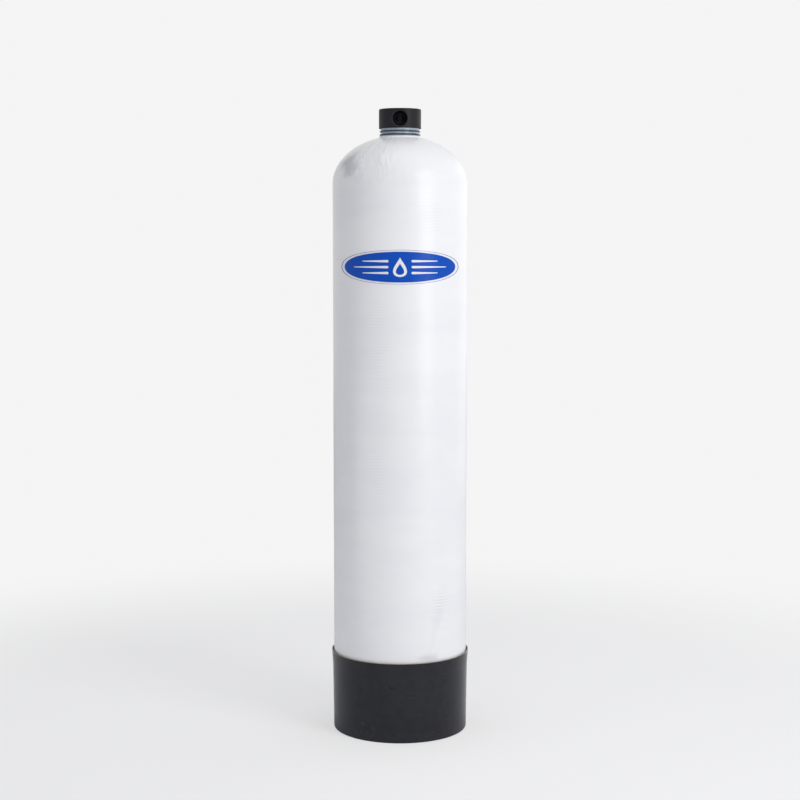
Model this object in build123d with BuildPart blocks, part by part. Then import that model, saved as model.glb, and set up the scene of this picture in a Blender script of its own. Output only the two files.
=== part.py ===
# Whole house water filter: a filament-wound tank that stands in a moulded boot, with a screwed
# in/out head on its neck, and riser tube, distributors and filter beds inside.
# Millimetres. Origin on the floor under the tank's axis, +Z up, inlet port towards -Y.

import os
from math import cos, pi, sin, sqrt

from build123d import *

os.makedirs("parts", exist_ok=True)

# Tank
tank_radius = 153.5
dome_rise = 109.3  # from the straight wall's end to the dome's crown
wall_length = 1131.4  # straight wall between the two domes
tank_lift = 18.0  # underside of the tank above the floor
winding_wall = 3.2
liner_wall = 3.5

# Neck
neck_height = 15.2  # mouth above the crown of the dome
collar_height = 16.2  # bare fitting that shows between winding and head
winding_neck_radius = 46.8
neck_blend = 5.0  # how far the winding sweeps out from its collar to the dome
neck_edge = 1.0
fitting_radius = 42.5
fitting_bore = 36.1  # wall of the thread's root
fitting_depth = 38.2
lip_radius = 44.0
lip_height = 3.4
ridge_radius = 46.3
ridge_thickness = 3.4
ridge_pitch = 7.1
ridge_drop = 6.6  # upper ridge's middle below the mouth
ridge_corner = 1.2
flange_radius = 60.0
flange_wall = 3.5

# Boot
boot_height = 184.0
boot_wall = 2.2
boot_rim_lean = 2.45  # how far the rim stands out past the part that grips the tank
boot_foot_taper = 2.05  # how far the foot is drawn in under the part that grips the tank
boot_floor = 3.0
boot_flare_height = 36.0  # part of the wall that leans out under the rim
boot_foot_corner = 4.0
boot_centre_hole = 45.0
boot_drain_radius = 9.0
boot_drain_circle = 98.0
rib_count = 12
rib_thickness = 2.6
rib_height = 98.0
rib_ring_wall = 3.0

# Head
head_radius = 47.9
head_height = 43.8
head_top_corner = 2.4
head_foot_corner = 0.8
spigot_radius = 34.6  # wall of the thread's root
spigot_length = 24.0
chamber_radius = 26.0  # outside of the ring passage
core_radius = 19.6  # inside of the ring passage
passage_relief = 1.5  # how far the round passages stop short of, or past, the walls they meet
port_radius = 16.5  # wall of the thread's root
port_drop = 22.6  # port's axis below the head's top
port_depth = 16.3
port_chamfer = 1.1
spot_face_radius = 19.6
spot_face_depth = 3.6
inlet_radius = 11.0
outlet_radius = 12.0
bridge_wall = 3.0

# Seals
head_ring_section = 3.4
riser_ring_section = 3.3
retainer_height = 5.0
retainer_flange = 1.6
retainer_flange_radius = 18.8

# Riser tube and distributors
riser_radius = 13.35
riser_bore = 10.45
riser_below_mouth = 1.0
basket_wall = 2.0
upper_basket_radius = 33.0
upper_basket_length = 62.0
upper_collar_height = 6.0
lower_basket_radius = 32.0
lower_basket_height = 62.0
slot_width = 0.9
slot_length = 20.0
slot_bridge = 6.0
slots_round = 20
upper_slot_rows = 2
lower_slot_rows = 2
hub_plate = 3.0
hub_socket_depth = 24.0
hub_socket_wall = 3.2
hub_stop = 2.5
hub_gusset_count = 4
hub_gusset_thickness = 2.4

# Beds
gravel_top = 150.0
carbon_depth = 866.0

# Label
label_width = 312.0  # along the tank's round wall
label_height = 75.6
label_thickness = 0.3
label_middle_drop = 186.2  # label's middle below the end of the straight wall
label_outline_steps = 60

# Clearances
seat_gap = 0.3  # between a piece and what it seats on
bond_gap = 0.4  # between large curved shells
boot_grip = 0.45  # between the tank's straight wall and the boot
slip_gap = 0.3  # between parts that slide past each other
label_gap = 0.15

# Levels that follow from the sizes
low_tangent = tank_lift + dome_rise
high_tangent = low_tangent + wall_length
neck_top = high_tangent + dome_rise + neck_height
winding_neck_top = neck_top - collar_height
head_top = neck_top + head_height
port_level = head_top - port_drop
spigot_end = neck_top - spigot_length

# Radii that follow from the sizes
liner_radius = tank_radius - winding_wall - bond_gap
inside_radius = liner_radius - liner_wall
bed_radius = inside_radius - bond_gap
socket_radius = riser_radius + slip_gap
ring_seat_depth = head_ring_section + 2 * seat_gap
ring_seat_radius = spigot_radius + head_ring_section + 2 * seat_gap
gland_radius = riser_radius + riser_ring_section + 2 * seat_gap


def vessel_half(radius):
    """Half section of a domed vessel that runs parallel to the tank's outside, at this radius."""
    rise = dome_rise - (tank_radius - radius)
    with BuildSketch(Plane.XZ) as half:
        with BuildLine():
            lower = EllipticalCenterArc((0, low_tangent), radius, rise, start_angle=270, arc_size=90)
            upper = EllipticalCenterArc((0, high_tangent), radius, rise, start_angle=0, arc_size=90)
            Line(lower @ 1, upper @ 0)
            Line(upper @ 1, lower @ 0)
        make_face()
    return half.sketch


def dome_at(vessel_radius, radius):
    """Height of a vessel's dome over the end of its straight wall, at a distance from the axis."""
    rise = dome_rise - (tank_radius - vessel_radius)
    return rise * sqrt(1 - (radius / vessel_radius) ** 2)


# Tank winding: the outer shell, drawn in to a collar round the inlet fitting
blend_foot_radius = winding_neck_radius + neck_blend
blend_foot_level = high_tangent + dome_at(tank_radius, blend_foot_radius)
with BuildPart() as tank_winding:
    revolve(vessel_half(tank_radius), axis=Axis.Z)
    with BuildSketch(Plane.XZ):
        with BuildLine():
            blend = TangentArc(
                (winding_neck_radius, winding_neck_top - neck_edge),
                (blend_foot_radius, blend_foot_level),
                tangent=(0, -1),
            )
            Polyline(
                blend @ 1,
                (fitting_radius, blend_foot_level - winding_wall / 2),
                (fitting_radius, winding_neck_top),
                (winding_neck_radius, winding_neck_top),
                blend @ 0,
            )
        make_face()
    revolve(axis=Axis.Z)
    revolve(vessel_half(tank_radius - winding_wall), axis=Axis.Z, mode=Mode.SUBTRACT)
    with BuildSketch(Plane.XY.offset(high_tangent)):
        Circle(fitting_radius + seat_gap)
    extrude(amount=head_top - high_tangent, mode=Mode.SUBTRACT)
tank_winding.part.label = "tank_winding"
export_step(tank_winding.part, "parts/tank_winding.step")

# Tank liner: the water-tight inner shell, open at the crown where the fitting is bonded in
with BuildPart() as tank_liner:
    revolve(vessel_half(liner_radius), axis=Axis.Z)
    revolve(vessel_half(inside_radius), axis=Axis.Z, mode=Mode.SUBTRACT)
    with BuildSketch(Plane.XY.offset(high_tangent)):
        Circle(fitting_radius + seat_gap)
    extrude(amount=head_top - high_tangent, mode=Mode.SUBTRACT)
tank_liner.part.label = "tank_liner"
export_step(tank_liner.part, "parts/tank_liner.step")

# Neck fitting: lip and two ridges outside, thread wall and seal seat inside, flange under the liner
fitting_foot = neck_top - fitting_depth
flange_inner_level = high_tangent + dome_at(inside_radius, fitting_radius) - seat_gap
flange_outer_level = high_tangent + dome_at(inside_radius, flange_radius) - seat_gap
with BuildPart() as neck_fitting:
    with BuildSketch(Plane.XZ):
        with BuildLine():
            Polyline(
                (fitting_bore, fitting_foot),
                (fitting_bore, neck_top - ring_seat_depth),
                (ring_seat_radius, neck_top - ring_seat_depth),
                (ring_seat_radius, neck_top),
                (lip_radius, neck_top),
                (lip_radius, neck_top - lip_height),
                (fitting_radius, neck_top - lip_height),
                (fitting_radius, flange_inner_level),
                (flange_radius, flange_outer_level),
                (flange_radius, flange_outer_level - flange_wall),
                (fitting_radius, flange_inner_level - flange_wall),
                (fitting_radius, fitting_foot),
                close=True,
            )
        make_face()
    revolve(axis=Axis.Z)
    with BuildSketch(Plane.XZ):
        ridge_middle = (fitting_bore + ridge_radius) / 2 + ridge_corner
        ridge_width = 2 * (ridge_radius - ridge_middle)
        for row in range(2):
            with Locations((ridge_middle, neck_top - ridge_drop - row * ridge_pitch)):
                RectangleRounded(ridge_width, ridge_thickness, ridge_corner)
    revolve(axis=Axis.Z)
neck_fitting.part.label = "neck_fitting"
export_step(neck_fitting.part, "parts/neck_fitting.step")

# Boot: thin drafted wall that leans out under its rim, a floor with drain holes, and ribs that
# carry the tank's round bottom
grip_radius = tank_radius + boot_grip + boot_wall
rim_radius = grip_radius + boot_rim_lean
foot_radius = grip_radius - boot_foot_taper
boot_draft = boot_foot_taper / (boot_height - boot_flare_height)
with BuildPart() as base_boot:
    with BuildSketch(Plane.XZ):
        with BuildLine():
            Polyline(
                (boot_centre_hole, 0),
                (foot_radius, 0),
                (grip_radius, boot_height - boot_flare_height),
                (rim_radius, boot_height),
                (rim_radius - boot_wall, boot_height),
                (grip_radius - boot_wall, boot_height - boot_flare_height),
                (foot_radius - boot_wall, boot_floor),
                (boot_centre_hole, boot_floor),
                close=True,
            )
        make_face()
    revolve(axis=Axis.Z)
    foot_edge = base_boot.edges().filter_by(GeomType.CIRCLE).group_by(Axis.Z)[0].sort_by(SortBy.RADIUS)[-1]
    fillet(foot_edge, boot_foot_corner)
    with BuildSketch(Plane.XZ):
        with BuildLine():
            Polyline(
                (boot_centre_hole, boot_floor / 2),
                (foot_radius - boot_wall / 2, boot_floor / 2),
                (foot_radius - boot_wall / 2 + boot_draft * rib_height, rib_height),
                (boot_centre_hole, rib_height),
                close=True,
            )
        make_face()
    rib = extrude(amount=rib_thickness / 2, both=True, mode=Mode.PRIVATE)
    with PolarLocations(0, rib_count):
        add(rib)
    with BuildSketch(Plane.XY.offset(boot_floor / 2)):
        Circle(boot_centre_hole + rib_ring_wall)
    extrude(amount=rib_height / 2)
    with BuildSketch(Plane.XY):
        Circle(boot_centre_hole)
    extrude(amount=rib_height, mode=Mode.SUBTRACT)
    revolve(vessel_half(tank_radius + seat_gap), axis=Axis.Z, mode=Mode.SUBTRACT)
    with PolarLocations(boot_drain_circle, rib_count // 2, start_angle=180 / rib_count):
        Hole(boot_drain_radius)
base_boot.part.label = "base_boot"
export_step(base_boot.part, "parts/base_boot.step")

# Head body: one moulding. Water enters by the front port, goes down the ring passage round the
# core, comes back up the riser tube in the core and leaves by the rear port.
ring_passage_rear_top = port_level - outlet_radius - bridge_wall
with BuildPart() as head_body:
    with BuildSketch(Plane.XY.offset(neck_top)):
        Circle(head_radius)
    extrude(amount=head_height)
    fillet(head_body.edges().filter_by(GeomType.CIRCLE).sort_by(Axis.Z)[-1], head_top_corner)
    chamfer(head_body.edges().filter_by(GeomType.CIRCLE).sort_by(Axis.Z)[0], head_foot_corner)
    with BuildSketch(Plane.XY.offset(spigot_end)):
        Circle(spigot_radius)
    extrude(amount=spigot_length)
    # ring passage: full ring up to the bridge, front half up to the roof
    with BuildSketch(Plane.XY.offset(spigot_end)):
        Circle(chamber_radius)
        Circle(core_radius, mode=Mode.SUBTRACT)
    extrude(amount=ring_passage_rear_top - spigot_end, mode=Mode.SUBTRACT)
    with BuildSketch(Plane.XY.offset(spigot_end)):
        Circle(chamber_radius)
        Circle(core_radius, mode=Mode.SUBTRACT)
        with Locations((0, chamber_radius / 2)):
            Rectangle(2 * chamber_radius, chamber_radius, mode=Mode.SUBTRACT)
    extrude(amount=port_level + inlet_radius + passage_relief - spigot_end, mode=Mode.SUBTRACT)
    # seal gland, riser socket and the way up to the outlet
    with BuildSketch(Plane.XY.offset(spigot_end)):
        Circle(gland_radius)
    extrude(amount=retainer_height + riser_ring_section + 2 * seat_gap, mode=Mode.SUBTRACT)
    with BuildSketch(Plane.XY.offset(spigot_end)):
        Circle(socket_radius)
    extrude(amount=spigot_length + slip_gap, mode=Mode.SUBTRACT)
    with BuildSketch(Plane.XY.offset(spigot_end)):
        Circle(riser_bore)
    extrude(amount=port_level - spigot_end, mode=Mode.SUBTRACT)
    # front and rear ports, each with a spot face, a threaded wall and a passage behind it
    inlet_end = core_radius + passage_relief
    outlet_end = -riser_bore - passage_relief
    for side, passage_radius, passage_end in ((-1, inlet_radius, inlet_end), (1, outlet_radius, outlet_end)):
        port_plane = Plane(origin=(0, side * head_radius, port_level), x_dir=(1, 0, 0), z_dir=(0, -side, 0))
        with BuildSketch(port_plane):
            Circle(spot_face_radius)
        extrude(amount=spot_face_depth, mode=Mode.SUBTRACT)
        with BuildSketch(port_plane):
            Circle(port_radius)
        extrude(amount=spot_face_depth + port_depth, mode=Mode.SUBTRACT)
        with BuildSketch(port_plane):
            Circle(passage_radius)
        extrude(amount=head_radius - passage_end, mode=Mode.SUBTRACT)
        mouth = head_body.edges().filter_by(GeomType.CIRCLE).filter_by(
            lambda edge: abs(edge.radius - port_radius) < 0.01
        )
        chamfer(mouth.sort_by(Axis.Y)[0 if side < 0 else -1], port_chamfer)
head_body.part.label = "head_body"
export_step(head_body.part, "parts/head_body.step")

# Head seal: lies in the fitting's seat, round the top of the spigot
with BuildPart() as head_o_ring:
    with BuildSketch(Plane.XZ):
        with Locations((spigot_radius + seat_gap + head_ring_section / 2, neck_top - ring_seat_depth / 2)):
            Circle(head_ring_section / 2)
    revolve(axis=Axis.Z)
head_o_ring.part.label = "head_o_ring"
export_step(head_o_ring.part, "parts/head_o_ring.step")

# Riser seal: lies in the head's gland, round the riser tube
riser_ring_level = spigot_end + retainer_height + seat_gap + riser_ring_section / 2
with BuildPart() as riser_o_ring:
    with BuildSketch(Plane.XZ):
        with Locations((riser_radius + seat_gap + riser_ring_section / 2, riser_ring_level)):
            Circle(riser_ring_section / 2)
    revolve(axis=Axis.Z)
riser_o_ring.part.label = "riser_o_ring"
export_step(riser_o_ring.part, "parts/riser_o_ring.step")

# Seal retainer: a sleeve pushed into the gland, with a thin flange under the core
with BuildPart() as riser_seal_retainer:
    with BuildSketch(Plane.XY.offset(spigot_end)):
        Circle(gland_radius - seat_gap)
        Circle(socket_radius, mode=Mode.SUBTRACT)
    extrude(amount=retainer_height)
    with BuildSketch(Plane.XY.offset(spigot_end - retainer_flange)):
        Circle(retainer_flange_radius)
        Circle(socket_radius, mode=Mode.SUBTRACT)
    extrude(amount=retainer_flange)
riser_seal_retainer.part.label = "riser_seal_retainer"
export_step(riser_seal_retainer.part, "parts/riser_seal_retainer.step")


def slot_middles(first_level, rows):
    """Middles of the rows of upright slots round a basket, one row above another."""
    pitch = slot_length + slot_bridge
    return [(0, 0, first_level + slot_length / 2 + row * pitch) for row in range(rows)]


# Upper distributor: a slotted cup with a collar that plugs into the head's ring passage
upper_foot = spigot_end - upper_basket_length
upper_slots_height = upper_slot_rows * slot_length + (upper_slot_rows - 1) * slot_bridge
upper_slots_start = (spigot_end + upper_foot - upper_slots_height) / 2
with BuildPart() as upper_distributor:
    with BuildSketch(Plane.XY.offset(upper_foot)):
        Circle(upper_basket_radius)
        Circle(socket_radius, mode=Mode.SUBTRACT)
    extrude(amount=basket_wall)
    with BuildSketch(Plane.XY.offset(upper_foot)):
        Circle(upper_basket_radius)
        Circle(upper_basket_radius - basket_wall, mode=Mode.SUBTRACT)
    extrude(amount=upper_basket_length)
    with BuildSketch(Plane.XY.offset(spigot_end - basket_wall)):
        Circle(upper_basket_radius)
        Circle(chamber_radius - slip_gap - basket_wall, mode=Mode.SUBTRACT)
    extrude(amount=basket_wall)
    with BuildSketch(Plane.XY.offset(spigot_end - basket_wall)):
        Circle(chamber_radius - slip_gap)
        Circle(chamber_radius - slip_gap - basket_wall, mode=Mode.SUBTRACT)
    extrude(amount=basket_wall + upper_collar_height)
    with Locations(*slot_middles(upper_slots_start, upper_slot_rows)):
        with PolarLocations(upper_basket_radius, slots_round):
            Box(4 * basket_wall, slot_width, slot_length, mode=Mode.SUBTRACT)
upper_distributor.part.label = "upper_distributor"
export_step(upper_distributor.part, "parts/upper_distributor.step")

# Lower basket: a slotted cup that stands on the liner's bottom
basket_foot = low_tangent - dome_at(inside_radius, lower_basket_radius) + seat_gap
basket_top = basket_foot + lower_basket_height
lower_slots_height = lower_slot_rows * slot_length + (lower_slot_rows - 1) * slot_bridge
lower_slots_start = (basket_foot + basket_wall + basket_top - lower_slots_height) / 2
with BuildPart() as lower_basket:
    with BuildSketch(Plane.XY.offset(basket_foot)):
        Circle(lower_basket_radius)
    extrude(amount=lower_basket_height)
    with BuildSketch(Plane.XY.offset(basket_foot + basket_wall)):
        Circle(lower_basket_radius - basket_wall)
    extrude(amount=lower_basket_height, mode=Mode.SUBTRACT)
    with Locations(*slot_middles(lower_slots_start, lower_slot_rows)):
        with PolarLocations(lower_basket_radius, slots_round):
            Box(4 * basket_wall, slot_width, slot_length, mode=Mode.SUBTRACT)
lower_basket.part.label = "lower_basket"
export_step(lower_basket.part, "parts/lower_basket.step")

# Lower hub: closes the basket and holds the riser tube in a gusseted socket
riser_foot = basket_top + hub_plate + hub_stop
hub_top = riser_foot + hub_socket_depth
hub_socket_outside = socket_radius + hub_socket_wall
hub_skirt_radius = lower_basket_radius - basket_wall - slip_gap
with BuildPart() as lower_hub:
    with BuildSketch(Plane.XY.offset(basket_top)):
        Circle(lower_basket_radius)
        Circle(riser_bore, mode=Mode.SUBTRACT)
    extrude(amount=hub_plate)
    with BuildSketch(Plane.XY.offset(basket_top - hub_plate)):
        Circle(hub_skirt_radius)
        Circle(hub_skirt_radius - basket_wall, mode=Mode.SUBTRACT)
    extrude(amount=hub_plate)
    with BuildSketch(Plane.XY.offset(basket_top + hub_plate)):
        Circle(hub_socket_outside)
        Circle(riser_bore, mode=Mode.SUBTRACT)
    extrude(amount=hub_top - basket_top - hub_plate)
    with BuildSketch(Plane.XY.offset(riser_foot)):
        Circle(socket_radius)
    extrude(amount=hub_socket_depth, mode=Mode.SUBTRACT)
    with BuildSketch(Plane.XZ) as gusset:
        with BuildLine():
            Polyline(
                (hub_socket_outside - hub_socket_wall / 2, basket_top + hub_plate / 2),
                (lower_basket_radius, basket_top + hub_plate / 2),
                (lower_basket_radius, basket_top + hub_plate),
                (hub_socket_outside, hub_top - hub_stop),
                (hub_socket_outside - hub_socket_wall / 2, hub_top - hub_stop),
                close=True,
            )
        make_face()
    gusset_plate = extrude(amount=hub_gusset_thickness / 2, both=True, mode=Mode.PRIVATE)
    with PolarLocations(0, hub_gusset_count):
        add(gusset_plate)
lower_hub.part.label = "lower_hub"
export_step(lower_hub.part, "parts/lower_hub.step")

# Riser tube: from the hub's stop to just under the level of the mouth
riser_top = neck_top - riser_below_mouth
with BuildPart() as riser_tube:
    with BuildSketch(Plane.XY.offset(riser_foot)):
        Circle(riser_radius)
        Circle(riser_bore, mode=Mode.SUBTRACT)
    extrude(amount=riser_top - riser_foot)
riser_tube.part.label = "riser_tube"
export_step(riser_tube.part, "parts/riser_tube.step")

# Gravel bed: fills the bottom dome round basket, hub and riser tube
with BuildPart() as gravel_bed:
    revolve(vessel_half(bed_radius), axis=Axis.Z)
    split(bisect_by=Plane.XY.offset(gravel_top), keep=Keep.BOTTOM)
    with BuildSketch(Plane.XZ):
        with BuildLine():
            Polyline(
                (0, 0),
                (lower_basket_radius + seat_gap, 0),
                (lower_basket_radius + seat_gap, basket_top + hub_plate + seat_gap),
                (hub_socket_outside + seat_gap, hub_top + seat_gap),
                (riser_radius + seat_gap, hub_top + seat_gap),
                (riser_radius + seat_gap, gravel_top),
                (0, gravel_top),
                close=True,
            )
        make_face()
    revolve(axis=Axis.Z, mode=Mode.SUBTRACT)
gravel_bed.part.label = "gravel_bed"
export_step(gravel_bed.part, "parts/gravel_bed.step")

# Carbon bed: granules from the gravel up to the free space under the dome
with BuildPart() as carbon_bed:
    with BuildSketch(Plane.XY.offset(gravel_top + seat_gap)):
        Circle(bed_radius)
        Circle(riser_radius + seat_gap, mode=Mode.SUBTRACT)
    extrude(amount=carbon_depth)
carbon_bed.part.label = "carbon_bed"
export_step(carbon_bed.part, "parts/carbon_bed.step")

# Front label: an oval sticker, a true ellipse when flat, that follows the round wall
label_inside = tank_radius + label_gap
label_level = high_tangent - label_middle_drop
outline_points = []
for step in range(label_outline_steps):
    turn = 2 * pi * step / label_outline_steps
    bend = label_width / 2 * cos(turn) / label_inside
    outline_points.append((label_inside * sin(bend), label_level + label_height / 2 * sin(turn)))
with BuildPart() as front_label:
    with BuildSketch(Plane.XZ):
        with BuildLine():
            Polyline(*outline_points, close=True)
        make_face()
    extrude(amount=2 * tank_radius)
    with BuildSketch(Plane.XY.offset(label_level - label_height)):
        Circle(label_inside + label_thickness)
    extrude(amount=2 * label_height, mode=Mode.INTERSECT)
    with BuildSketch(Plane.XY.offset(label_level - label_height)):
        Circle(label_inside)
    extrude(amount=2 * label_height, mode=Mode.SUBTRACT)
front_label.part.label = "front_label"
export_step(front_label.part, "parts/front_label.step")
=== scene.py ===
import math

import bpy
import numpy as np
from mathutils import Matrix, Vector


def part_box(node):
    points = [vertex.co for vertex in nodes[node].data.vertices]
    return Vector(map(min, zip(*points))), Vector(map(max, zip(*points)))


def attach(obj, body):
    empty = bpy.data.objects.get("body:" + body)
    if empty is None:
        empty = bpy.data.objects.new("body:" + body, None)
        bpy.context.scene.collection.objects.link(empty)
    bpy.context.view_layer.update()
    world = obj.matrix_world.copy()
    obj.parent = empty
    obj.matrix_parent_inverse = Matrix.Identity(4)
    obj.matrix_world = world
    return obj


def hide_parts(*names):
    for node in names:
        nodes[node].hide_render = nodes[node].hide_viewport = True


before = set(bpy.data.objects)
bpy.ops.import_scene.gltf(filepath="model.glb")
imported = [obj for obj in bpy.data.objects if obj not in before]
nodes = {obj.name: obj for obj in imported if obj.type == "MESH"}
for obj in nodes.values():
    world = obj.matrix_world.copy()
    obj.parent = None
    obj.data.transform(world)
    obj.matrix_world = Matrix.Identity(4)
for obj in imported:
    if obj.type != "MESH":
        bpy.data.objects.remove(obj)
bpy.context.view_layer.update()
print("frame loaded,", len(nodes), "nodes")

mm = 0.001
pi = math.pi
tankLow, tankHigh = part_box("tank_winding")
labelLow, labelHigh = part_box("front_label")
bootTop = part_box("base_boot")[1].z
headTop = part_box("head_body")[1].z
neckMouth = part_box("neck_fitting")[1].z


# Meshes

def meshFrom(name, points, faces, material, flat=False, sharp=35):
    # An object at the origin from an n x 3 array of points and a list of faces
    mesh = bpy.data.meshes.new(name)
    mesh.from_pydata(points.tolist(), [], faces)
    mesh.validate()
    if not flat:
        mesh.shade_smooth()
        mesh.set_sharp_from_angle(angle=math.radians(sharp))
    mesh.materials.append(material)
    piece = bpy.data.objects.new(name, mesh)
    bpy.context.scene.collection.objects.link(piece)
    return piece


def gridFaces(rows, columns, closeRows=False):
    # Quads between neighbouring points of a rows x columns grid whose columns close round
    index = np.arange(rows * columns).reshape(rows, columns)
    index = np.concatenate([index, index[:, :1]], axis=1)
    if closeRows:
        index = np.concatenate([index, index[:1]], axis=0)
    quads = np.stack([index[:-1, :-1], index[:-1, 1:], index[1:, 1:], index[1:, :-1]], axis=-1)
    return quads.reshape(-1, 4).tolist()


def cappedGrid(grid):
    # Points and faces of a grid closed round, with its first and last row each drawn in to a pole
    rows, columns = grid.shape[:2]
    poles = np.stack([grid[0].mean(axis=0), grid[-1].mean(axis=0)])
    points = np.concatenate([grid.reshape(-1, 3), poles])
    faces = gridFaces(rows, columns)
    first, last = rows * columns, rows * columns + 1
    start = (rows - 1) * columns
    for column in range(columns):
        following = (column + 1) % columns
        faces.append((first, following, column))
        faces.append((last, start + column, start + following))
    return points, faces


def ringAngles(columns):
    return np.linspace(0, 2 * pi, columns, endpoint=False)


def ellipseArc(radius, rise, middle, start, end, rows):
    # Radius and height along an ellipse: radius times cosine, middle plus rise times sine
    turn = np.radians(np.linspace(start, end, rows))
    return np.stack([radius * np.cos(turn), middle + rise * np.sin(turn)], axis=1)


def smoothStep(value, low, high):
    # Zero below low, one above high, and a smooth cubic between
    share = np.clip((value - low) / (high - low), 0, 1)
    return share * share * (3 - 2 * share)


def waveSum(angle, height, seed, count, aroundRange, alongRange):
    # Sum of sine waves that close round the tank: whole waves around, any wavelength along
    draw = np.random.default_rng(seed)
    total = np.zeros(np.broadcast(angle, height).shape)
    for _ in range(count):
        around = draw.integers(aroundRange[0], aroundRange[1] + 1)
        along = 2 * pi / draw.uniform(alongRange[0], alongRange[1])
        phase = draw.uniform(0, 2 * pi)
        total = total + np.sin(around * angle + along * height + phase)
    return total / math.sqrt(count)


# Node helpers

def feed(tree, socket, value):
    # Links another node's output to the socket, or sets the socket's own value
    if isinstance(value, bpy.types.NodeSocket):
        tree.links.new(value, socket)
    else:
        socket.default_value = value


def opaque(colour):
    return tuple(colour) + (1,)


def addNode(tree, kind, inputs=None, **settings):
    # inputs maps a socket's name or number to a value or to another node's output
    node = tree.nodes.new(kind)
    for setting, value in settings.items():
        setattr(node, setting, value)
    for socket, value in (inputs or {}).items():
        feed(tree, node.inputs[socket], value)
    return node


def mathOf(tree, operation, first, second=0.0, third=0.0):
    return addNode(tree, "ShaderNodeMath", {0: first, 1: second, 2: third}, operation=operation).outputs[0]


def vectorMath(tree, operation, first, second):
    return addNode(tree, "ShaderNodeVectorMath", {0: first, 1: second}, operation=operation).outputs[0]


def lengthOf(tree, vector):
    return addNode(tree, "ShaderNodeVectorMath", {0: vector}, operation="LENGTH").outputs["Value"]


def mixColour(tree, share, first, second):
    node = tree.nodes.new("ShaderNodeMix")
    node.data_type = "RGBA"
    for socket, value in zip((node.inputs[0], node.inputs[6], node.inputs[7]), (share, first, second)):
        feed(tree, socket, opaque(value) if isinstance(value, tuple) else value)
    return node.outputs[2]


def tinted(tree, colour, mask, strength, tint):
    # The colour drawn towards a tint where the mask is
    return mixColour(tree, mathOf(tree, "MULTIPLY", mask, strength), colour, tint)


def remap(tree, value, fromLow, fromHigh, toLow=0.0, toHigh=1.0):
    inputs = {"Value": value, "From Min": fromLow, "From Max": fromHigh, "To Min": toLow, "To Max": toHigh}
    return addNode(tree, "ShaderNodeMapRange", inputs, interpolation_type="SMOOTHSTEP").outputs[0]


def noiseOf(tree, vector, scale, detail=2.0, distortion=0.0):
    inputs = {"Vector": vector, "Scale": scale, "Detail": detail, "Distortion": distortion}
    return addNode(tree, "ShaderNodeTexNoise", inputs).outputs[0]


def stretchedNoise(tree, vector, stretch, detail, distortion=0.0):
    # Noise whose cells are one over the stretch long, each way
    return noiseOf(tree, vectorMath(tree, "MULTIPLY", vector, stretch), 1.0, detail, distortion)


def objectPlace(tree):
    return tree.nodes.new("ShaderNodeTexCoord").outputs["Object"]


def placeParts(tree):
    return addNode(tree, "ShaderNodeSeparateXYZ", {0: objectPlace(tree)}).outputs


def newGroup(name, inputs, outputs):
    # A shader group whose outputs are all values
    group = bpy.data.node_groups.new(name, "ShaderNodeTree")
    for label, value in inputs.items():
        kind = "NodeSocketVector" if isinstance(value, tuple) else "NodeSocketFloat"
        group.interface.new_socket(name=label, in_out="INPUT", socket_type=kind).default_value = value
    for label in outputs:
        group.interface.new_socket(name=label, in_out="OUTPUT", socket_type="NodeSocketFloat")
    return group, group.nodes.new("NodeGroupInput").outputs, group.nodes.new("NodeGroupOutput").inputs


def useGroup(tree, group, **values):
    # values sets the group's inputs by name, with _ for a space
    node = tree.nodes.new("ShaderNodeGroup")
    node.node_tree = group
    for label, value in values.items():
        feed(tree, node.inputs[label.replace("_", " ")], value)
    return node.outputs


def newMaterial(name, **plain):
    # plain sets the shader's own sockets by name, with _ for a space
    material = bpy.data.materials.new(name)
    material.use_nodes = True
    shader = material.node_tree.nodes["Principled BSDF"]
    for label, value in plain.items():
        shader.inputs[label.replace("_", " ")].default_value = value
    return material, material.node_tree, shader


def bumpFrom(tree, shader, height, distance):
    bump = addNode(tree, "ShaderNodeBump", {"Strength": 1.0, "Distance": distance, "Height": height})
    tree.links.new(bump.outputs[0], shader.inputs["Normal"])


# Shared effects

def makeMouldedGrain():
    # Fine pebbled skin of a moulding: two sizes of noise added
    group, given, result = newGroup("mouldedGrain", {"Scale": 900.0}, ("Height", "Tone"))
    broadScale, fineShare = 0.06, 0.6  # the broad noise's scale over the fine one's
    place = objectPlace(group)
    fine = noiseOf(group, place, given["Scale"], detail=3.0)
    broad = noiseOf(group, place, mathOf(group, "MULTIPLY", given["Scale"], broadScale), detail=3.0)
    fineHeight = mathOf(group, "MULTIPLY", fine, fineShare)
    broadHeight = mathOf(group, "MULTIPLY", broad, 1 - fineShare)
    feed(group, result["Height"], mathOf(group, "ADD", fineHeight, broadHeight))
    feed(group, result["Tone"], broad)
    return group


def makeSmudge():
    # A soft-edged patch: distance from a middle, each way over its own size, broken up by noise.
    # Slant moves it along X by so much for each metre up.
    inputs = {"Middle": (0.0, 0.0, 0.0), "Size": (0.02, 0.02, 0.02), "Break": 0.5, "Slant": 0.0}
    group, given, result = newGroup("smudge", inputs, ("Mask",))
    breakScale, solidWithin = 1.6, 0.1  # in sizes of the patch
    offset = vectorMath(group, "SUBTRACT", objectPlace(group), given["Middle"])
    rise = addNode(group, "ShaderNodeSeparateXYZ", {0: offset}).outputs["Z"]
    shift = addNode(group, "ShaderNodeCombineXYZ", {"X": mathOf(group, "MULTIPLY", rise, given["Slant"])})
    upright = vectorMath(group, "SUBTRACT", offset, shift.outputs[0])
    scaled = vectorMath(group, "DIVIDE", upright, given["Size"])
    centred = mathOf(group, "SUBTRACT", noiseOf(group, scaled, breakScale, detail=3.0), 0.5)
    uneven = mathOf(group, "MULTIPLY_ADD", centred, given["Break"], lengthOf(group, scaled))
    feed(group, result["Mask"], remap(group, uneven, 1.0, solidWithin))
    return group


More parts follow.
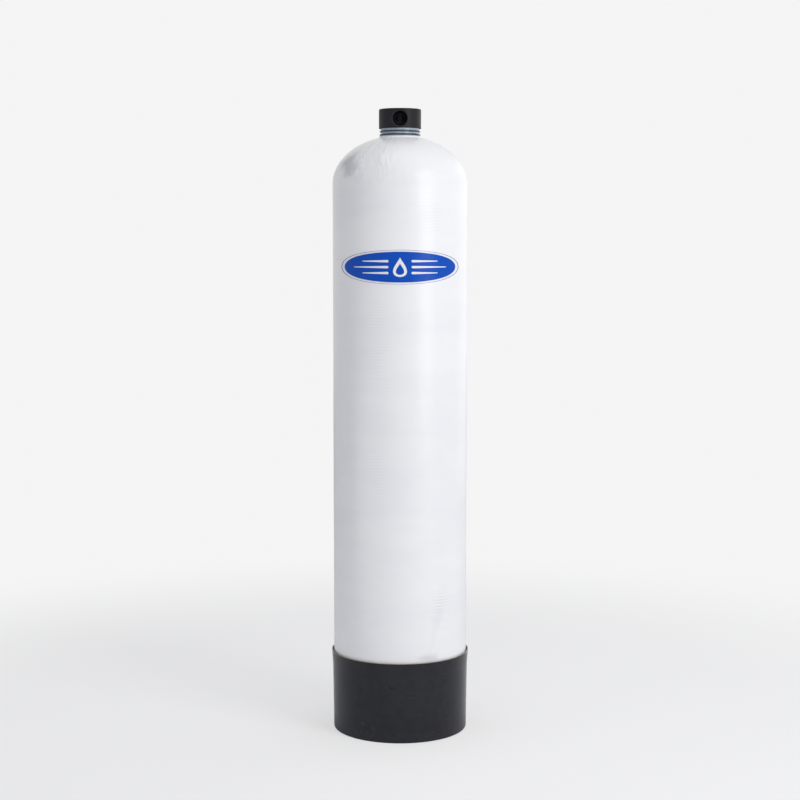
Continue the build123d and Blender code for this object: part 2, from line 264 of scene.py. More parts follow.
def makeScuffs():
    # Thin scratches: noise stretched along one way, kept only near its crests, thinned by patches
    group, given, result = newGroup("scuffs", {"Scale": (20.0, 20.0, 300.0), "Cover": 0.5}, ("Mask",))
    tilt, patchScale, crest, patchFull = 0.35, 14.0, (0.66, 0.74), 0.75
    place = objectPlace(group)
    inputs = {"Vector": place, "Angle": tilt}
    turned = addNode(group, "ShaderNodeVectorRotate", inputs, rotation_type="X_AXIS").outputs[0]
    lines = stretchedNoise(group, turned, given["Scale"], detail=2.0)
    where = remap(group, noiseOf(group, place, patchScale), given["Cover"], patchFull)
    feed(group, result["Mask"], mathOf(group, "MULTIPLY", remap(group, lines, *crest), where))
    return group


fibreLook = {  # stretches are one over a noise cell's size in metres, each way
    "pitch": 6.9 * mm,
    "waverStretch": (5.0, 5.0, 9.0),
    "waverTurn": 12.0,  # radians that the slow noise bends the hoops by
    "strongStretch": (11.0, 11.0, 16.0),  # patches where the hoops stand out
    "strongRange": (0.42, 0.62, 0.12, 1.0),
    "ridgeHeight": 0.13,
    "bandStretch": (4.0, 4.0, 120.0),
    "bandHeight": 0.2,
    "aroundRadius": 0.5,  # from the axis, where the noises of the folds are read
    "foldWaves": 31.0,  # whole waves round the dome
    "foldBend": 5.0,  # radians that the noise bends them by
    "foldBendStretch": (9.0, 9.0, 16.0),
    "foldPower": 0.6,
    "foldHeight": 0.6,
    "crumpleStretch": (27.0, 27.0, 24.0),
    "crumpleDistortion": 0.6,
    "crumpleHeight": 2.4,
    "creaseWidth": 0.1,
    "keptStretch": (9.0, 9.0, 9.0),  # patches where the folds stay
    "keptRange": (0.36, 0.56),
    "crossStretch": (60.0, 60.0, 25.0),
    "crossHeight": 0.3,
    "toneStretch": (5.0, 5.0, 14.0),
}


def makeHoops(group, place, height, angle, pitch):
    # Sine of the phase (height over pitch, less the angle round, plus slow noise), so that each turn
    # is a helix, with broad bands added, and strong only in patches
    waver = stretchedNoise(group, place, fibreLook["waverStretch"], detail=1.0)
    waver = mathOf(group, "SUBTRACT", waver, 0.5)
    turns = mathOf(group, "DIVIDE", mathOf(group, "MULTIPLY", height, 2 * pi), pitch)
    helix = mathOf(group, "SUBTRACT", turns, angle)
    ridges = mathOf(group, "SINE", mathOf(group, "MULTIPLY_ADD", waver, fibreLook["waverTurn"], helix))
    strong = stretchedNoise(group, place, fibreLook["strongStretch"], detail=1.0)
    strong = remap(group, strong, *fibreLook["strongRange"])
    bands = stretchedNoise(group, place, fibreLook["bandStretch"], detail=0.0)
    bands = mathOf(group, "MULTIPLY", bands, fibreLook["bandHeight"])
    hoops = mathOf(group, "MULTIPLY_ADD", ridges, fibreLook["ridgeHeight"], bands)
    return mathOf(group, "MULTIPLY", hoops, strong)


def makeFolds(group, parts, angle):
    # Root of a sine's size, over whole waves round that waver, which leaves thin upright creases
    # between soft swells, and finer creases where a noise crosses its middle. The noises read the
    # way outwards and the height, so that they close round the dome.
    level = addNode(group, "ShaderNodeCombineXYZ", {"X": parts["X"], "Y": parts["Y"]}).outputs[0]
    outward = addNode(group, "ShaderNodeVectorMath", {0: level}, operation="NORMALIZE").outputs[0]
    reach = {0: outward, "Scale": fibreLook["aroundRadius"]}
    outward = addNode(group, "ShaderNodeVectorMath", reach, operation="SCALE").outputs[0]
    upward = addNode(group, "ShaderNodeCombineXYZ", {"Z": parts["Z"]}).outputs[0]
    around = vectorMath(group, "ADD", outward, upward)
    bend = stretchedNoise(group, around, fibreLook["foldBendStretch"], detail=2.0)
    bend = mathOf(group, "SUBTRACT", bend, 0.5)
    waves = mathOf(group, "MULTIPLY", angle, fibreLook["foldWaves"])
    waves = mathOf(group, "MULTIPLY_ADD", bend, fibreLook["foldBend"], waves)
    swells = mathOf(group, "ABSOLUTE", mathOf(group, "SINE", waves))
    swells = mathOf(group, "POWER", swells, fibreLook["foldPower"])
    crumple = stretchedNoise(group, around, fibreLook["crumpleStretch"], detail=2.0,
                             distortion=fibreLook["crumpleDistortion"])
    crumple = mathOf(group, "ABSOLUTE", mathOf(group, "MULTIPLY_ADD", crumple, 2.0, -1.0))
    swells = mathOf(group, "MULTIPLY", swells, fibreLook["foldHeight"])
    folds = mathOf(group, "MULTIPLY_ADD", crumple, fibreLook["crumpleHeight"], swells)
    kept = stretchedNoise(group, around, fibreLook["keptStretch"], detail=2.0)
    kept = remap(group, kept, *fibreLook["keptRange"])
    # the second output marks the deepest creases, where shade is painted
    deepest = remap(group, crumple, fibreLook["creaseWidth"], 0.0)
    return mathOf(group, "MULTIPLY", folds, kept), mathOf(group, "MULTIPLY", deepest, kept)


def makeWindingFibre():
    # Relief of the wound shell: hoops on the wall, folds and crossing fibres on the domes
    inputs = {"Wall Top": 1.24, "Dome Start": 1.29, "Pitch": fibreLook["pitch"], "Folds": 0.3}
    group, given, result = newGroup("windingFibre", inputs, ("Height", "Tone", "Crease"))
    place = objectPlace(group)
    parts = addNode(group, "ShaderNodeSeparateXYZ", {0: place}).outputs
    angle = mathOf(group, "ARCTAN2", parts["Y"], parts["X"])
    hoops = makeHoops(group, place, parts["Z"], angle, given["Pitch"])
    folds, creases = makeFolds(group, parts, angle)
    cross = stretchedNoise(group, place, fibreLook["crossStretch"], detail=1.0)
    folds = mathOf(group, "MULTIPLY", folds, given["Folds"])
    domed = mathOf(group, "MULTIPLY_ADD", cross, fibreLook["crossHeight"], folds)
    dome = remap(group, parts["Z"], given["Wall Top"], given["Dome Start"])
    feed(group, result["Height"], addNode(group, "ShaderNodeMix", {0: dome, 2: hoops, 3: domed}).outputs[0])
    feed(group, result["Tone"], stretchedNoise(group, place, fibreLook["toneStretch"], detail=4.0))
    feed(group, result["Crease"], creases)
    return group


mouldedGrain = makeMouldedGrain()
smudge = makeSmudge()
scuffs = makeScuffs()
windingFibre = makeWindingFibre()
toneRange = (0.3, 0.7)  # where most of a noise lies
print("shared effects ready")


# Tank winding

winding = {
    "columns": 264,
    "rows": {"lowDome": 46, "wall": 206, "highDome": 56, "neck": 7, "insideDome": 14},
    "domeRise": 109.3 * mm,  # crown of a dome above the end of the straight wall
    "neckRise": 15.2 * mm,  # mouth of the neck above the dome's crown
    "wall": 3.2 * mm,
    "holeRadius": 42.8 * mm,
    "neckRadius": 46.8 * mm,
    "neckBlend": 5.0 * mm,
    "neckEdge": 1.0 * mm,
    "neckCorner": 0.2,  # share of that edge by which the sweep's corner lies above its foot
    "lip": ((0.15 * mm, 0.4 * mm), (0.6 * mm, 0.0)),  # in from the neck's wall and down from its mouth
    "poleTurn": -89.6,  # degrees down the dome where the last ring lies
    "patchDepth": 0.08 * mm,  # slow unevenness of the whole wall
    "blotchDepth": 0.03 * mm,  # cloudy unevenness about a hand wide
    "hoopDepth": 0.012 * mm,
    "foldDepth": 0.12 * mm,  # slanting folds on the shoulder
    "foldCount": 8,
    "foldWaves": (26, 60),  # whole waves round
    "foldSlant": 90,  # most radians round for each metre up
    "foldAngle": 232,  # degrees round from +X where the folds are deepest
    "foldElsewhere": 0.15,  # share of their depth that the folds keep opposite
    "shoulderSpan": (-0.03, 0.03),  # about the straight wall's end, where hoops give way to folds
    "calmSpan": (0.016, 0.006),  # below the crown, where the relief fades
    "poleSpan": (0.0, 0.04),  # from the axis, where it fades too
    "dentDepth": 0.7 * mm,
    "dentAngle": -54.0,  # degrees round from +X
    "dentHeight": 0.287,
    "dentSize": (0.16, 0.045),  # radians round, metres up
    "dentRipple": 21.0 * mm,
    "dentRippleShare": 0.5,
    "dentRippleWaves": 5,  # whole waves round
}
reliefWaves = {  # whole waves round and wavelengths along, in metres
    "patches": {"seed": 11, "count": 9, "aroundRange": (-5, 5), "alongRange": (0.16, 0.6)},
    "hoops": {"seed": 12, "count": 7, "aroundRange": (-3, 3), "alongRange": (0.017, 0.034)},
    "blotches": {"seed": 13, "count": 9, "aroundRange": (-14, 14), "alongRange": (0.05, 0.14)},
}
foldSeed = 21
tankRadius = tankHigh.x
lowTangent = tankLow.z + winding["domeRise"]
crown = neckMouth - winding["neckRise"]
highTangent = crown - winding["domeRise"]

windingMarks = {  # soft patches on the shell, in metres
    "wrinkled": {"Middle": (-0.065, -0.1, 1.31), "Size": (0.075, 0.1, 0.075), "Break": 0.5},
    "ripples": {"Middle": (0.095, -0.12, 0.305), "Size": (0.03, 0.05, 0.055), "Break": 0.8},
    "lowTurns": {"Middle": (-0.085, -0.128, 0.29), "Size": (0.032, 0.06, 0.075), "Break": 1.4},
    "leftTurns": {"Middle": (-0.054, -0.143, 0.8), "Size": (0.042, 0.08, 0.34), "Break": 1.2},
    "glossTurns": {"Middle": (0.068, -0.137, 1.16), "Size": (0.034, 0.06, 0.16), "Break": 1.0},
    # painted shade of the low dent, slanting along it
    "paintedDentShade": {"Middle": (0.084, -0.128, 0.282), "Size": (0.017, 0.05, 0.09), "Break": 0.7, "Slant": 0.22},
    "shoulderDirt": {"Middle": (-0.118, -0.078, 1.304), "Size": (0.04, 0.06, 0.045), "Break": 1.2},
    # painted shade on the tank just above the boot's rim
    "paintedRimShade": {"Middle": (0.066, -0.139, 0.192), "Size": (0.034, 0.03, 0.016), "Break": 1.0},
}
windingPaintLook = {
    "gloss": 0.36,
    "paint": ((0.83, 0.83, 0.85), (0.865, 0.865, 0.88)),
    # a grey for the dirt on the shoulder and for the painted shade above the boot's rim
    "dirtAndShade": (0.42, 0.42, 0.45),
    "stainsAndShade": (("shoulderDirt", 0.78), ("paintedRimShade", 0.34)),
    # painted shade of the low dent
    "paintedDentShadeTint": (0.5, 0.5, 0.56),
    "paintedDentShadeStrength": 0.1,
    # painted shade in the creases of the wrinkled patch
    "creaseShadeTint": (0.45, 0.45, 0.5),
    "creaseShadeStrength": 0.3,
    "bare": (0.4, 0.5, 0.62),  # unpainted edge under the collar
    "bareFrom": (2.4 * mm, 1.6 * mm),  # below the neck's edge
    "domeSpan": (-0.03, 0.02),  # about the straight wall's end, where the fibre's hoops give way to folds
    "folds": (4.6, 0.02),  # where the paint is wrinkled, and everywhere
    "roughness": (0.1, 0.6, 0.3, 0.22),  # from the fibre's height
    "turnStrengths": (("ripples", 6.0), ("lowTurns", 4.0), ("leftTurns", 6.5), ("glossTurns", 1.8)),
    "peelScale": 160.0,
    "peelHeight": 0.1,
    "bump": 0.2 * mm,
}


def slowRelief(angle, height):
    # Broad unevenness of the wall and one shallow dent, in metres out of the true vessel
    patches = waveSum(angle, height, **reliefWaves["patches"]) * winding["patchDepth"]
    dentWide, dentHigh = winding["dentSize"]
    across = (np.mod(angle - math.radians(winding["dentAngle"]) + pi, 2 * pi) - pi) / dentWide
    up = (height - winding["dentHeight"]) / dentHigh
    ripple = np.sin(2 * pi * height / winding["dentRipple"] + winding["dentRippleWaves"] * angle)
    ripple = 1 + winding["dentRippleShare"] * ripple
    return patches - np.exp(-(across ** 2 + up ** 2)) * winding["dentDepth"] * ripple


def tankRelief(angle, height):
    # The whole relief: the slow one, hoops and blotches on the wall and slanting folds on the shoulder
    hoops = waveSum(angle, height, **reliefWaves["hoops"]) * winding["hoopDepth"]
    hoops = hoops + waveSum(angle, height, **reliefWaves["blotches"]) * winding["blotchDepth"]
    folds = np.zeros(np.broadcast(angle, height).shape)
    draw = np.random.default_rng(foldSeed)
    for _ in range(winding["foldCount"]):
        around = draw.integers(*winding["foldWaves"])
        slant = draw.uniform(-winding["foldSlant"], winding["foldSlant"])
        folds = folds + np.sin(around * angle + slant * height + draw.uniform(0, 2 * pi))
    folds = folds / math.sqrt(winding["foldCount"]) * winding["foldDepth"]
    shoulder = smoothStep(height, *(highTangent + part for part in winding["shoulderSpan"]))
    belowNeck = 1 - smoothStep(height, *(crown - part for part in winding["calmSpan"]))
    facing = np.cos((angle - math.radians(winding["foldAngle"])) / 2) ** 6
    leftFront = winding["foldElsewhere"] + (1 - winding["foldElsewhere"]) * facing
    return (slowRelief(angle, height) + hoops * (1 - shoulder) + folds * shoulder * leftFront) * belowNeck


def makeWindingPaint():
    look = windingPaintLook
    material, tree, shader = newMaterial("windingPaint", Specular_IOR_Level=look["gloss"])
    masks = {name: useGroup(tree, smudge, **mark)["Mask"] for name, mark in windingMarks.items()}
    folds = mathOf(tree, "MULTIPLY_ADD", masks["wrinkled"], *look["folds"])
    wallTop, domeStart = (highTangent + part for part in look["domeSpan"])
    fibre = useGroup(tree, windingFibre, Wall_Top=wallTop, Dome_Start=domeStart, Folds=folds)
    colour = mixColour(tree, remap(tree, fibre["Tone"], *toneRange), *look["paint"])
    # dirt on the shoulder, and painted shade just above the boot's rim
    for name, strength in look["stainsAndShade"]:
        colour = tinted(tree, colour, masks[name], strength, look["dirtAndShade"])
    # painted shade of the low dent
    colour = tinted(tree, colour, masks["paintedDentShade"], look["paintedDentShadeStrength"], look["paintedDentShadeTint"])
    # painted shade in the creases of the wrinkled patch
    shadedCreases = mathOf(tree, "MULTIPLY", masks["wrinkled"], fibre["Crease"])
    colour = tinted(tree, colour, shadedCreases, look["creaseShadeStrength"], look["creaseShadeTint"])
    bareLow, bareHigh = (tankHigh.z - drop for drop in look["bareFrom"])
    bare = remap(tree, placeParts(tree)["Z"], bareLow, bareHigh)
    feed(tree, shader.inputs["Base Color"], mixColour(tree, bare, colour, look["bare"]))
    feed(tree, shader.inputs["Roughness"], remap(tree, fibre["Height"], *look["roughness"]))
    stronger = 1.0
    for name, strength in look["turnStrengths"]:
        stronger = mathOf(tree, "MULTIPLY_ADD", masks[name], strength, stronger)
    turns = mathOf(tree, "MULTIPLY", fibre["Height"], stronger)
    peel = noiseOf(tree, objectPlace(tree), look["peelScale"], detail=1.0)
    bumpFrom(tree, shader, mathOf(tree, "MULTIPLY_ADD", peel, look["peelHeight"], turns), look["bump"])
    return material


def tankProfile():
    # Radius and height up the outside, over the neck and down the inside, and the outside's row count
    radius, rise = tankRadius, winding["domeRise"]
    inside, insideRise = radius - winding["wall"], rise - winding["wall"]
    neck, hole, top = winding["neckRadius"], winding["holeRadius"], tankHigh.z
    rows, poleTurn = winding["rows"], winding["poleTurn"]
    footTurn = math.degrees(math.acos((neck + winding["neckBlend"]) / radius))
    innerTurn = math.degrees(math.acos(hole / inside))
    outerLow = ellipseArc(radius, rise, lowTangent, poleTurn, 0, rows["lowDome"])
    wallHeights = np.linspace(lowTangent, highTangent, rows["wall"] + 2)[1:-1]
    outerWall = np.stack([np.full(rows["wall"], radius), wallHeights], axis=1)
    outerHigh = ellipseArc(radius, rise, highTangent, 0, footTurn, rows["highDome"])
    # the neck sweeps up from the dome along a curve whose corner lies on the neck's wall
    share = np.linspace(0, 1, rows["neck"] + 1)[1:, None]
    foot = outerHigh[-1]
    corner = np.array([neck, foot[1] + winding["neckCorner"] * winding["neckEdge"]])
    rim = np.array([neck, top - winding["neckEdge"]])
    blend = (1 - share) ** 2 * foot + 2 * share * (1 - share) * corner + share ** 2 * rim
    lip = np.array([[neck - inwards, top - down] for inwards, down in winding["lip"]] + [[hole, top]])
    innerHigh = ellipseArc(inside, insideRise, highTangent, innerTurn, 0, rows["insideDome"])
    innerLow = ellipseArc(inside, insideRise, lowTangent, 0, poleTurn, rows["insideDome"])
    outerRows = len(outerLow) + len(outerWall) + len(outerHigh)
    return np.concatenate([outerLow, outerWall, outerHigh, blend, lip, innerHigh, innerLow]), outerRows


def makeTankShell():
    # A closed shell: the profile turned round the axis and moved along its normal by the relief
    profile, outerRows = tankProfile()
    along = np.gradient(profile, axis=0)
    normal = np.stack([along[:, 1], -along[:, 0]], axis=1)
    normal = normal / np.linalg.norm(normal, axis=1, keepdims=True)
    angle = ringAngles(winding["columns"])[None, :]
    relief = tankRelief(angle, profile[:, 1:2])
    relief[outerRows:] = 0
    relief = relief * smoothStep(profile[:, 0:1], *winding["poleSpan"])
    radii = profile[:, 0:1] + relief * normal[:, 0:1]
    heights = profile[:, 1:2] + relief * normal[:, 1:2]
    grid = np.stack([radii * np.cos(angle), radii * np.sin(angle), heights + 0 * angle], axis=-1)
    shell = meshFrom("tank_shell", *cappedGrid(grid), makeWindingPaint())
    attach(shell, "tank")
    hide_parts("tank_winding")


makeTankShell()
print("tank shell ready")


# Label: a vinyl oval on the front, printed with a plain drop between bars

label = {
    "halfWidth": 156.0 * mm,  # along the wall
    "halfHeight": (labelHigh.z - labelLow.z) / 2,
    "middle": (labelHigh.z + labelLow.z) / 2,
    "lift": 0.25 * mm,  # underside above the true wall
    "sheet": 0.2 * mm,
    "ink": 0.05 * mm,
    "poleRing": 0.5 * mm,  # smallest ring round a patch's pole
    "ovalPoints": 192,
    "dropPoints": 96,
    "barPoints": 50,  # along each long side
    "field": (0.917, 0.894),  # blue field, as shares of the sheet's width and height
    "outline": (0.984, 0.999),  # thin blue line along the edge
    "dropHeight": 43.0 * mm,
    "dropWidth": 29.0 * mm,
    "waterHeight": 25.0 * mm,
    "waterWidth": 17.0 * mm,
    "waterSink": 4.5 * mm,
    "dropShape": (0.77, 1.6),  # a factor that makes the width true, and the power that draws the tip
    "dropHub": 0.2,  # share of its height that a drop's rings centre below its middle
    "barStart": 25.0 * mm,
    "barEnds": (88.0 * mm, 112.0 * mm, 88.0 * mm),
    "barThickness": 5.6 * mm,
    "barTaper": 0.72,  # share of its thickness that a bar loses outwards
    "barRounding": (0.03, 0.02),  # shares of its length over which each end is rounded
    "barPitch": 13.0 * mm,
}
vinyl = {
    "white": (0.86, 0.86, 0.87),
    "blue": (0.002, 0.078, 0.5),
    "whiteGloss": 0.4,
    "blueGloss": 0.16,
    "darker": 0.86,
    "worn": ((0.8, 0.8, 0.82), 0.06),  # a tint and how much of it
    "grain": 420.0,
    "cover": 0.45,
    "roughness": (0.3, 0.38),
    "bump": 0.04 * mm,
}


def onTank(across, up, lift):
    # Wraps flat label places round the wall: across turns into an angle, lift into radius
    angle = -pi / 2 + across / tankRadius
    height = label["middle"] + up
    radius = tankRadius + slowRelief(angle, height) + lift
    return np.stack([radius * np.cos(angle), radius * np.sin(angle), height], axis=-1)


def flatPatch(name, outline, bottom, top, material, rows, centre=(0.0, 0.0), inner=0.0):
    # A thin closed patch inside an outline that runs anticlockwise: rings from its middle, or from a
    # share of its size, out to the outline on top, and back underneath
    across, up = outline
    shares = np.linspace(inner, 1, rows)
    if inner == 0:
        shares[0] = label["poleRing"] / np.abs(across - centre[0]).max()
    shares = np.concatenate([shares, shares[::-1]])[:, None]
    lifts = np.concatenate([np.full(rows, top), np.full(rows, bottom)])[:, None]
    flatAcross = centre[0] + shares * (across - centre[0])[None, :]
    flatUp = centre[1] + shares * (up - centre[1])[None, :]
    grid = onTank(flatAcross, flatUp, lifts + 0 * flatAcross)[::-1]
    if inner == 0:
        points, faces = cappedGrid(grid)
    else:
        points, faces = grid.reshape(-1, 3), gridFaces(*grid.shape[:2], closeRows=True)
    patch = meshFrom(name, points, faces, material)
    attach(patch, "tank")
    return patch


def makeVinyl(name, colour, gloss):
    material, tree, shader = newMaterial(name, Specular_IOR_Level=gloss)
    grain = useGroup(tree, mouldedGrain, Scale=vinyl["grain"])
    worn = useGroup(tree, scuffs, Cover=vinyl["cover"])["Mask"]
    darker = tuple(channel * vinyl["darker"] for channel in colour)
    tint, strength = vinyl["worn"]
    body = tinted(tree, mixColour(tree, grain["Tone"], colour, darker), worn, strength, tint)
    feed(tree, shader.inputs["Base Color"], body)
    feed(tree, shader.inputs["Roughness"], remap(tree, grain["Tone"], *toneRange, *vinyl["roughness"]))
    bumpFrom(tree, shader, grain["Height"], vinyl["bump"])
    return material


def makeDrop(name, width, height, level, bottom, material):
    # Teardrop: sine of the turn times a power of the sine of half the turn, against its cosine
    factor, power = label["dropShape"]
    turn = -ringAngles(label["dropPoints"])
    half = np.abs(np.sin(turn / 2))
    outline = (width * factor * np.sin(turn) * half ** power, level + height / 2 * np.cos(turn))
    centre = (0.0, level - label["dropHub"] * height)
    flatPatch(name, outline, bottom, bottom + label["ink"], material, rows=8, centre=centre)


def makeBars(bottom, top, material):
    # Three bars on each side: thickest beside the drop and drawn to a blunt point outwards
    share = np.linspace(0, 1, label["barPoints"])
    startRounding, endRounding = label["barRounding"]
    startShape = np.sqrt(np.clip(share / startRounding, 0, 1))
    endShape = np.sqrt(np.clip((1 - share) / endRounding, 0, 1))
    half = startShape * (1 - label["barTaper"] * share) * endShape * label["barThickness"] / 2
    for sideName, side in (("left", -1), ("right", 1)):
        for row, end in enumerate(label["barEnds"]):
            along = side * (label["barStart"] + share * (end - label["barStart"]))
            level = (1 - row) * label["barPitch"]
            across = np.concatenate([along, along[-2:0:-1]])
            up = level + np.concatenate([half, -half[-2:0:-1]])
            if side > 0:
                across, up = across[::-1], up[::-1]
            name = "label_bar_" + sideName + "_" + str(row + 1)
            centre = (side * (label["barStart"] + end) / 2, level)
            flatPatch(name, (across, up), bottom, top, material, rows=20, centre=centre)


def makeLabel():
    white = makeVinyl("labelWhite", vinyl["white"], vinyl["whiteGloss"])
    blue = makeVinyl("labelBlue", vinyl["blue"], vinyl["blueGloss"])
    turn = ringAngles(label["ovalPoints"])
    oval = (label["halfWidth"] * np.cos(turn), label["halfHeight"] * np.sin(turn))
    ink = label["ink"]
    sheetTop = label["lift"] + label["sheet"]
    inkTop = sheetTop + ink
    sheet = flatPatch("label_sheet", oval, label["lift"], sheetTop, white, rows=40)
    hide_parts("front_label")
    field = tuple(part * share for part, share in zip(oval, label["field"]))
    flatPatch("label_field", field, sheetTop - ink, inkTop, blue, rows=36)
    low, high = label["outline"]
    edge = tuple(part * high for part in oval)
    flatPatch("label_outline", edge, sheetTop - ink, inkTop, blue, rows=3, inner=low / high)
    sunk = -label["waterSink"]
    makeDrop("label_drop", label["dropWidth"], label["dropHeight"], 0.0, inkTop, white)
    makeDrop("label_water", label["waterWidth"], label["waterHeight"], sunk, inkTop + ink, blue)
    makeBars(inkTop - ink, inkTop + ink, white)


makeLabel()
print("label ready")


# Plastics

plastic = {
    "wornCover": 0.55,
    "wornTint": (1.5, 0.03),  # factor and addition to the lighter tone
    "wornStrength": 0.35,
    "wornRoughness": 0.1,  # added
    "roughnessSpread": (-0.04, 0.06),
}


def makePlastic(name, dark, light, roughness, grain=0.05, gloss=0.5):
    # A moulded plastic: two tones of its colour, pebbled skin grain millimetres high, faint scratches
    material, tree, shader = newMaterial(name, Specular_IOR_Level=gloss)
    skin = useGroup(tree, mouldedGrain)
    worn = useGroup(tree, scuffs, Cover=plastic["wornCover"])["Mask"]
    colour = mixColour(tree, remap(tree, skin["Tone"], *toneRange), dark, light)
    factor, addition = plastic["wornTint"]
    paler = tuple(min(1.0, channel * factor + addition) for channel in light)
    feed(tree, shader.inputs["Base Color"], tinted(tree, colour, worn, plastic["wornStrength"], paler))
    spread = (roughness + part for part in plastic["roughnessSpread"])
    rough = remap(tree, skin["Tone"], *toneRange, *spread)
    rough = mathOf(tree, "MULTIPLY_ADD", worn, plastic["wornRoughness"], rough)
    feed(tree, shader.inputs["Roughness"], rough)
    bumpFrom(tree, shader, skin["Height"], grain * mm)
    return material


def repaint(material, maskOf, tint):
    # Draws a material's colour towards a tint where maskOf(tree) is
    tree = material.node_tree
    base = tree.nodes["Principled BSDF"].inputs["Base Color"]
    body = base.links[0].from_socket
    feed(tree, base, mixColour(tree, maskOf(tree), body, tint))


head = {
    "portDrop": 22.6 * mm,  # ports' axis below the head's top
    "plastic": ((0.008, 0.0075, 0.0105), (0.011, 0.0105, 0.014), 0.52),  # two tones and a roughness
    "gloss": 0.22,
    "paintedFaceLight": (0.024, 0.023, 0.027),  # painted light on the flat faces round the ports, lifting their shade
    "paintedFaceLightShare": 0.8,
    "paintedFaceLightRadius": (20.2 * mm, 19.4 * mm),
    "paintedFaceLightDepth": (40 * mm, 43 * mm),  # from the head's axis
    # near-black and barely glossy: painted shade inside the ports
    "paintedPortShade": ((0.002, 0.002, 0.0026), (0.003, 0.003, 0.0038), 0.7),
    "paintedPortShadeGloss": 0.05,
}
fitting = {
    "plastic": ((0.36, 0.44, 0.53), (0.46, 0.54, 0.62), 0.3),
    # painted shade: the collar's ridges near-black, for the shade along them
    "ridge": (0.03, 0.032, 0.042),
    "ridgeShadeRadius": (44.3 * mm, 45.2 * mm),  # where the colour changes to the ridges' painted shade
}
portLevel = headTop - head["portDrop"]


def paintedFaceLightMask(tree):
    # One on the flat faces round the ports, where painted light lifts their shade: near a port's axis and
    # far from the head's
    parts = placeParts(tree)
    level = mathOf(tree, "SUBTRACT", parts["Z"], portLevel)
    beside = addNode(tree, "ShaderNodeCombineXYZ", {"X": parts["X"], "Y": 0.0, "Z": level}).outputs[0]
    near = remap(tree, lengthOf(tree, beside), *head["paintedFaceLightRadius"])
    outside = remap(tree, mathOf(tree, "ABSOLUTE", parts["Y"]), *head["paintedFaceLightDepth"])
    return mathOf(tree, "MULTIPLY", mathOf(tree, "MULTIPLY", near, outside), head["paintedFaceLightShare"])


def ridgeShadeMask(tree):
    # One on the collar's ridges, where their shade is painted, by the distance from the axis
    parts = placeParts(tree)
    across = addNode(tree, "ShaderNodeCombineXYZ", {"X": parts["X"], "Y": parts["Y"], "Z": 0.0}).outputs[0]
    return remap(tree, lengthOf(tree, across), *fitting["ridgeShadeRadius"])


headPlastic = makePlastic("headPlastic", *head["plastic"], gloss=head["gloss"])
# the flat faces round the ports are painted paler than the head, as painted light that lifts their shade
repaint(headPlastic, paintedFaceLightMask, head["paintedFaceLight"])
fittingPlastic = makePlastic("fittingPlastic", *fitting["plastic"])
# the collar's ridges get painted shade
repaint(fittingPlastic, ridgeShadeMask, fitting["ridge"])


# Threads

threads = {
    "neckPitch": 3.175 * mm,
    "neckStart": 36.0 * mm,  # lowest turn of the bore's thread below the mouth
    "neckTurns": 9,
    "spigotTurns": 5,
    "spigotLag": 4.5,  # turns above the bore's start, so that its turns lie midway between the bore's
    "spigotRoot": 34.6 * mm,
    "boreRoot": 36.1 * mm,
    "neckDepth": 1.1 * mm,
    "neckFoot": 1.5 * mm,  # width at the root
    "neckCrest": 0.6 * mm,
    "sunk": 0.12 * mm,  # how far a ridge's foot lies in its wall
    "endShare": 0.02,  # of its height that a ridge keeps at its ends
    "stepsPerTurn": 64,
    "portPitch": 2.209 * mm,
    "portRoot": 16.5 * mm,
    "portDepth": 1.3 * mm,
    "portFoot": 1.9 * mm,
    "portCrest": 0.5 * mm,
    "portFloor": 28.0 * mm,  # from the head's axis
    "portMouth": 43.0 * mm,
    "portHole": 12.3 * mm,  # where the floor opens into the passage
    "portLedge": 2 * mm,  # round that hole
    "portSkin": 0.12 * mm,
    "portColumns": 96,
    "portRows": 72,
}


def neckRidge(name, root, depth, turns, start, material):
    # A four-cornered ridge carried up a helix, its height fading out over each end's half turn
    foot, crest = threads["neckFoot"] / 2, threads["neckCrest"] / 2
    steps = turns * threads["stepsPerTurn"] + 1
    angle = np.linspace(0, 2 * pi * turns, steps)
    travel = angle * threads["neckPitch"] / (2 * pi)
    fade = smoothStep(angle, 0, pi) * (1 - smoothStep(angle, angle[-1] - pi, angle[-1]))
    sunk = -threads["sunk"] * np.sign(depth) + 0 * angle
    height = depth * (threads["endShare"] + (1 - threads["endShare"]) * fade)
    corners = ((sunk, -foot), (height, -crest), (height, crest), (sunk, foot))
    columns = []
    for out, along in (corners[::-1] if depth > 0 else corners):
        radius, level = root + out, start + travel + along
        columns.append(np.stack([radius * np.cos(angle), radius * np.sin(angle), level], axis=-1))
    faces = gridFaces(steps, 4)
    last = (steps - 1) * 4
    faces.append((3, 2, 1, 0))
    faces.append((last, last + 1, last + 2, last + 3))
    return meshFrom(name, np.stack(columns, axis=1).reshape(-1, 3), faces, material, sharp=25)


